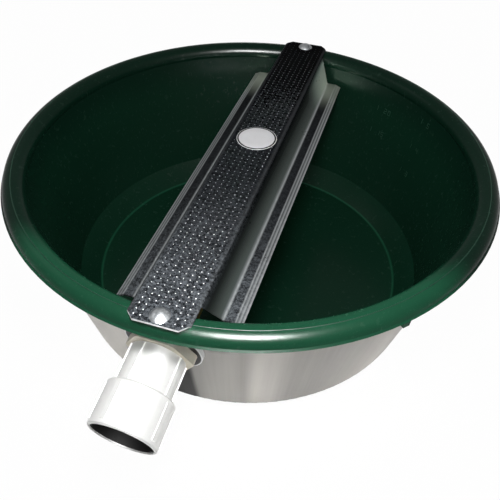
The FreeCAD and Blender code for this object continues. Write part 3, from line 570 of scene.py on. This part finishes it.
# %% Label
ink_radius, face_radius = label_radius - 0.0004, label_radius - 0.0015
for name, finish, disc in (
        ("label_edge", blank_vinyl, [(label_radius, 0.0), (label_radius, 0.00016),
                                     (label_radius - 0.0002, 0.00024), (0, 0.00026)]),
        ("label_border", label_ink, [(ink_radius, 0.00020), (ink_radius - 0.0001, 0.00032), (0, 0.00034)]),
        ("label_face", blank_vinyl, [(face_radius, 0.00030), (face_radius - 0.0002, 0.00040),
                                     (face_radius * 0.6, 0.00044), (0, 0.00046)])):
    corners, faces = [], []
    lathe(label_place + Vector((0, 0, cover_sheet_top)), disc, 72, corners, faces)
    mesh_piece(name, corners, faces, finish)
print("label radius", label_radius)

# %% [markdown]
# ## Volume marks inside the tub
# Moulded tubs carry a scale on the inside wall: short ticks with plain numbers beside them. They are
# strokes raised a fraction of a millimetre. `wall_spot` bends a flat drawing onto the leaning wall, and
# each stroke is a low bar with a bevelled back, so it catches light as a moulded mark does.


# %% Strokes on the leaning wall
def wall_spot(turn, slope, proud=0.0):
    """A point on the inner wall: angle round the axis, distance up the slope, and how far it stands proud."""
    radius = wall_foot + slope * math.sin(wall_lean) - proud * math.cos(wall_lean)
    return Vector((radius * math.cos(turn), radius * math.sin(turn),
                   slope * math.cos(wall_lean) + proud * math.sin(wall_lean)))


def stroke(turn, slope, start, stop, thick, proud, corners, faces):
    """A raised bar from start to stop, drawn in (across, up) metres about a point of the wall."""
    reach = Vector(stop) - Vector(start)
    across = Vector((-reach.y, reach.x)).normalized() * thick / 2
    end = reach.normalized() * thick / 2
    base = len(corners)
    for level, inset in ((-0.0002, 1.0), (proud, 0.55)):
        for along, sign in ((Vector(start) - end * inset, 1), (Vector(stop) + end * inset, 1),
                            (Vector(stop) + end * inset, -1), (Vector(start) - end * inset, -1)):
            spot = along + across * sign * inset
            sideways = spot.x / (wall_foot + slope * math.sin(wall_lean))
            corners.append(wall_spot(turn - sideways, slope + spot.y, level))
    faces.append([base + 4, base + 5, base + 6, base + 7])
    for step in range(4):
        after = (step + 1) % 4
        faces.append([base + step, base + after, base + 4 + after, base + 4 + step])


print("a mark at the wall's foot would be at", [round(v, 4) for v in wall_spot(0.0, 0.0)])

# %% [markdown]
# The numbers are drawn with seven bars each, like a pocket calculator's, which keeps them plain. The scale
# has two columns, as tubs have that are marked in two units. Each mark is given by how far up the slope it
# is, and its number.

# %% Marks
bars = {"a": ((0, 2), (1, 2)), "b": ((1, 1), (1, 2)), "c": ((1, 0), (1, 1)), "d": ((0, 0), (1, 0)),
        "e": ((0, 0), (0, 1)), "f": ((0, 1), (0, 2)), "g": ((0, 1), (1, 1))}
lit = {"0": "abcdef", "1": "bc", "2": "abged", "3": "abgcd", "4": "fgbc", "5": "afgcd"}
digit_wide, digit_high, digit_step, first_digit = 0.0022, 0.0019, 0.0042, 0.0070
bar_thick, bar_proud = 0.0006, 0.00022
corners, faces = [], []
for column_turn, marks in ((math.radians(60.5), ((0.0763, "15"), (0.0965, "20"))),
                           (math.radians(43.0), ((0.0607, "3"), (0.0838, "4"), (0.1073, "5")))):
    for slope, number in marks:
        stroke(column_turn, slope, (0.0, -digit_high), (0.0, digit_high), bar_thick, bar_proud, corners, faces)
        for place, digit in enumerate(number):
            for name in lit[digit]:
                ends = [(first_digit + place * digit_step + x * digit_wide, (y - 1) * digit_high)
                        for x, y in bars[name]]
                stroke(column_turn, slope, *ends, bar_thick, bar_proud, corners, faces)
mesh_piece("volume_marks", corners, faces, mark_green, smooth=False)
print("marks: two columns of plain numbers")

# %% [markdown]
# ## The parting line on the rim
# Two halves of a mould meet along the rolled rim, and leave a hair-fine raised line all the way round. It
# is a thin bead, turned as a ring of small sections that follow the roll.

# %% Rim line
line_radius = 0.960 * rim_radius
bead_wide, bead_high = 0.00030, 0.00022
line_height = roll_height + math.sqrt(roll_radius ** 2 - (line_radius - roll_middle) ** 2)
corners, faces, around, section = [], [], 240, 6
for step in range(around):
    turn = 2 * math.pi * step / around
    for side in range(section):
        angle = 2 * math.pi * side / section
        radius = line_radius + bead_wide * math.cos(angle)
        corners.append(Vector((radius * math.cos(turn), radius * math.sin(turn),
                               line_height + bead_high * math.sin(angle))))
for step in range(around):
    for side in range(section):
        a, b = step * section + side, step * section + (side + 1) % section
        faces.append([a, b, (b + section) % len(corners), (a + section) % len(corners)])
mesh_piece("rim_parting_line", corners, faces, mark_green)
print("line at radius", round(line_radius, 4), "height", round(line_height, 4))

# %% [markdown]
# ## Screw threads
# Threads are too fine for the CAD solids, and they show where a bolt's tail or a rod's end comes out of
# its nut. A thread is a ridge that climbs as it turns. `thread` sweeps a small triangle along a helix about
# any axis, given by where it starts and which way it runs.


# %% Threads
def thread(name, start, way, length, core, pitch, finish, body):
    way = way.normalized()
    side = way.orthogonal().normalized()
    other = way.cross(side)
    corners, faces, steps = [], [], 20
    total = int(length / pitch * steps)
    for step in range(total + 1):
        turn = 2 * math.pi * step / steps
        out = side * math.cos(turn) + other * math.sin(turn)
        fade = min(1.0, step / 6, (total - step) / 6)
        climb = way * (step * pitch / steps)
        for lift, shift in ((-0.05, -0.42), (0.34 * fade, 0.0), (-0.05, 0.42)):
            corners.append(start + climb + out * (core + lift * pitch) + way * (shift * pitch))
    for step in range(total):
        for edge in (0, 1):
            a = step * 3 + edge
            faces.append([a, a + 1, a + 4, a + 3])
    return mesh_piece(name, corners, faces, finish, body, smooth=False)


bolt_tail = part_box("cover_bolts")[0].z
tail_gap, tail_length, tail_core, tail_pitch = 0.0004, 0.0009, 0.0019, 0.0007
for place, side_name in zip(bolt_places, ("front", "back")):
    thread(f"{side_name}_bolt_thread", Vector((0, place, bolt_tail + tail_gap)), Vector((0, 0, 1)),
           tail_length, tail_core, tail_pitch, bolt_zinc, "bowl")

# %% [markdown]
# ## Floor and light
# The bowl stands on a plain white floor. White paper behind a product looks white because it is lit more
# than the product is. Here Light Path does that: the camera sees white, and so do the rays that come
# through glass. Reflections see a share of it, because a real room is darker round the bowl than the paper
# is. The floor keeps a little of its own light, so that the bowl has its shadow.


# %% Floor
reflected_share, floor_share = 0.3, 0.98


def white_share(graph):
    """How much of the white a ray sees: all for the camera and through glass, a share in reflections."""
    camera_ray, glossy_ray, glass_ray = [
        graph.node("ShaderNodeLightPath", out=name)
        for name in ("Is Camera Ray", "Is Glossy Ray", "Is Transmission Ray")]
    return graph.node("ShaderNodeClamp", None, {0: camera_ray + glossy_ray * reflected_share + glass_ray})


paper = Finish("white_paper", Base_Color=paint(242, 242, 242), Roughness=0.9, Specular_IOR_Level=0.1)
white = paper.node("ShaderNodeEmission", None, {"Color": (1, 1, 1, 1), "Strength": 1.0})
white_part = white_share(paper) * floor_share
paper.finish_with(paper.node("ShaderNodeMixShader", None, {0: white_part, 1: paper.surface, 2: white}))
bpy.ops.mesh.primitive_plane_add(size=8.0)
floor = bpy.context.object
floor.name = "floor"
floor.data.materials.append(paper.material)
print("floor at", floor.location.z)

# %% [markdown]
# The room round the bowl is one even white. It lights the object at about a quarter of full level, so the
# hollows keep their depth. The camera and reflections see it by the same share as they see the floor.

# %% World
world = bpy.data.worlds.new("soft_room")
bpy.context.scene.world = world
world.use_nodes = True
room = Graph(world.node_tree)
world.node_tree.nodes.clear()
room_level = 0.24
light_level = room_level + white_share(room) * (1 - room_level)
sky = room.node("ShaderNodeBackground", None, {"Color": (1, 1, 1, 1), "Strength": light_level})
room.node("ShaderNodeOutputWorld", None, {"Surface": sky})
print("room light level", room_level, "and 1 to the camera")

# %% [markdown]
# Three soft lamps model the forms. One hangs over the near side and gives the main light. A strip beside it
# shows only in shiny surfaces: it puts the broad gloss on the near rim and lights nothing matt. The third
# is far off at the left and weak. Power follows from distance, so that at level 1 a lamp lights a flat
# surface that faces it at full level.


# %% Lamps
def soft_lamp(name, place, aim, wide, high, level, lights_matt=True):
    """A lamp of this width and height, whose light at its aim is this share of full level."""
    lamp = bpy.data.lights.new(name, "AREA")
    lamp.shape, lamp.size, lamp.size_y = "RECTANGLE", wide, high
    way = Vector(aim) - Vector(place)
    lamp.energy = level * (math.pi * way.length) ** 2
    holder = bpy.data.objects.new(name, lamp)
    bpy.context.scene.collection.objects.link(holder)
    holder.location = place
    holder.rotation_euler = way.to_track_quat("-Z", "Y").to_euler()
    holder.visible_diffuse = lights_matt
    print(name, round(lamp.energy, 2), "W at", round(way.length, 2), "m")


soft_lamp("near_lamp", (0.085, -0.245, 0.47), (0.03, -0.16, 0.12), 0.09, 0.09, 1.0)
soft_lamp("gloss_strip", (0.105, -0.35, 0.41), (0.045, -0.165, 0.120), 0.17, 0.17, 24.0, lights_matt=False)
soft_lamp("left_lamp", (-1.00, -0.10, 0.95), (0.0, 0.0, 0.08), 0.50, 0.50, 0.05)

# %% [markdown]
# ## The camera
# The view is from above the right of the inlet, close enough for the near rim to loom. A camera is an
# origin and three axes: the way it looks, and that way's right and up, rolled by a degree and a half, as
# a camera is when it is held by hand.

# %% Camera
look = Vector((-0.21117, 0.70926, -0.67257)).normalized()
level_right = look.cross(Vector((0, 0, 1))).normalized()
level_up = level_right.cross(look)
roll = math.radians(1.5)
right = level_right * math.cos(roll) + level_up * math.sin(roll)
up = level_up * math.cos(roll) - level_right * math.sin(roll)
camera_data = bpy.data.cameras.new("camera")
camera_data.sensor_width, camera_data.lens = 36.0, 45.6
camera_data.shift_x, camera_data.shift_y = 0.0115, -0.0375
camera_data.clip_start, camera_data.clip_end = 0.01, 50.0
camera = bpy.data.objects.new("camera", camera_data)
bpy.context.scene.collection.objects.link(camera)
turned = Matrix((right, up, -look)).transposed().to_4x4()
camera.matrix_world = Matrix.Translation((0.1051, -0.3655, 0.3856)) @ turned
bpy.context.scene.camera = camera
print("camera lens", camera_data.lens, "mm at", [round(v, 3) for v in camera.matrix_world.translation])

# %% [markdown]
# ## Colour
# The Standard view shows colours as they are written.

# %% Finish
bpy.context.scene.view_settings.view_transform = "Standard"
